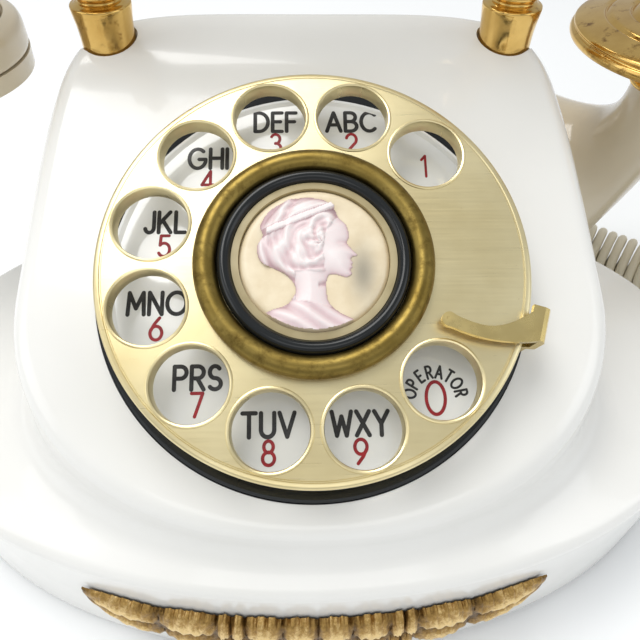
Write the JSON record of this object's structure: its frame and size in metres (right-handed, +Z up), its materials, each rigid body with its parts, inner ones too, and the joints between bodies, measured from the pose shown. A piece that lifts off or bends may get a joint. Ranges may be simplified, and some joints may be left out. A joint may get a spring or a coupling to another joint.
{
  "type": "rotary dial telephone",
  "caption": "Bedroom telephone with an oval flanged base, a sloping rotary dial, gilt cradle posts and an arched handset with a horn mouthpiece.",
  "frame": {"origin": "centre of the oval footprint, on the table", "axes": "+Z up, front of the dial towards -Y, +X to the right of a person facing the dial"},
  "size_m": [0.2285, 0.1492, 0.1404],
  "materials": {
    "white_plastic": "polished, slightly warm white",
    "cream_plastic": "gloss, yellowed with age",
    "cream_cord": "soft vinyl sheath",
    "black_plastic": "gloss black",
    "polished_gold": "polished gold plate, lightly tarnished",
    "antique_gold": "cast, dark patina in the hollows",
    "champagne_metal": "satin champagne anodising, fine brushing",
    "antique_brass": "aged, satin",
    "gong_brass": "spun",
    "tan_plastic": "satin",
    "cameo_cream": "satin shell",
    "cameo_pink": "carved shell, satin",
    "steel": "zinc plated",
    "brass": "machined",
    "contact_metal": "nickel silver blades",
    "copper_coil": "enamelled wire under tape",
    "capacitor_shell": "drawn can",
    "rubber": "matt",
    "grey_plastic": "moulded"
  },
  "bodies": {
    "base": {"base_plate": "steel", "base_screws": "steel", "capacitor": "capacitor_shell", "cord_grommet": "cream_plastic", "cradle_bushes": "black_plastic", "cradle_spring": "steel", "dial_bracket": "steel", "dial_front_plate": "steel", "dial_pillars": "steel", "dial_rear_plate": "steel", "dial_ring": "black_plastic", "finger_stop": "polished_gold", "front_ornament": "antique_gold", "gong_left": "gong_brass", "gong_right": "gong_brass", "gong_screws": "steel", "governor_cup": "brass", "handset_cord": "cream_cord", "hook_contacts": "contact_metal", "hook_switch_frame": "steel", "housing": "white_plastic", "line_jack": "white_plastic", "network_block": "black_plastic", "number_plate": "white_plastic", "pulse_contacts": "contact_metal", "return_spring": "steel", "ringer_coils": "copper_coil", "ringer_frame": "steel", "rubber_feet": "rubber", "terminal_screws": "steel"},
    "dial": {"finger_wheel": "champagne_metal", "medallion_ring": "antique_brass", "medallion_bezel": "black_plastic", "medallion_inlay": "tan_plastic", "cameo_disc": "cameo_cream", "cameo_relief": "cameo_pink", "dial_spindle": "steel", "main_gear": "brass"},
    "pulse_arbor": {"pulse_gear": "brass"},
    "governor": {"governor_rotor": "brass"},
    "cradle": {"cradle_post_left": "polished_gold", "cradle_post_right": "polished_gold", "cradle_fork_left": "polished_gold", "cradle_fork_right": "polished_gold", "plunger_bar": "steel"},
    "hook_lever": {"hook_lever": "steel"},
    "handset": {"handle": "cream_plastic", "handle_ferrules": "polished_gold", "ear_cup": "cream_plastic", "ear_dome": "cream_plastic", "ear_cap": "cream_plastic", "receiver_capsule": "black_plastic", "mouth_disc": "polished_gold", "mouth_neck": "polished_gold", "mouth_horn": "cream_plastic", "mouth_cap": "cream_plastic", "transmitter_capsule": "black_plastic", "cord_boot": "cream_plastic"},
    "clapper": {"clapper": "steel"},
    "loudness_wheel": {"loudness_wheel": "grey_plastic"}
  },
  "joints": [
    {"name": "dial_turn", "type": "hinge", "parent": "base", "child": "dial", "pos_m": [0, -0.016, 0.073], "axis": [0, -0.4695, 0.8829], "range_deg": [-331, 0]},
    {"name": "pulse_arbor_spin", "type": "hinge", "parent": "base", "child": "pulse_arbor", "pos_m": [0, 0.00934, 0.08647], "axis": [0, -0.4695, 0.8829], "range_deg": [0, 1366]},
    {"name": "governor_spin", "type": "hinge", "parent": "base", "child": "governor", "pos_m": [-0.0127, 0.00149, 0.0823], "axis": [0, -0.4695, 0.8829], "range_deg": [-4682, 0]},
    {"name": "cradle_travel", "type": "slide", "parent": "base", "child": "cradle", "axis": [0, 0, 1], "range_m": [0, 0.004], "deforming": ["cradle_spring"]},
    {"name": "hook_lever_swing", "type": "hinge", "parent": "base", "child": "hook_lever", "pos_m": [0.039, 0.027, 0.054], "axis": [1, 0, 0], "range_deg": [0, 18.5]},
    {"name": "handset_lift", "type": "slide", "parent": "cradle", "child": "handset", "axis": [0, 0, 1], "range_m": [0, 0.16], "deforming": ["handset_cord"]},
    {"name": "clapper_swing", "type": "hinge", "parent": "base", "child": "clapper", "pos_m": [0, 0, 0.0194], "axis": [0, 0, 1], "range_deg": [-2.2, 2.2]},
    {"name": "loudness_turn", "type": "hinge", "parent": "base", "child": "loudness_wheel", "pos_m": [0.029, -0.015, 0.007], "axis": [0, 1, 0], "range_deg": [-90, 90]}
  ],
  "couplings": [
    {"joint": "pulse_arbor_spin", "follows": "dial_turn", "ratio": -4.125},
    {"joint": "governor_spin", "follows": "dial_turn", "ratio": 14.143},
    {"joint": "hook_lever_swing", "follows": "cradle_travel", "rad_per_m": 80}
  ]
}
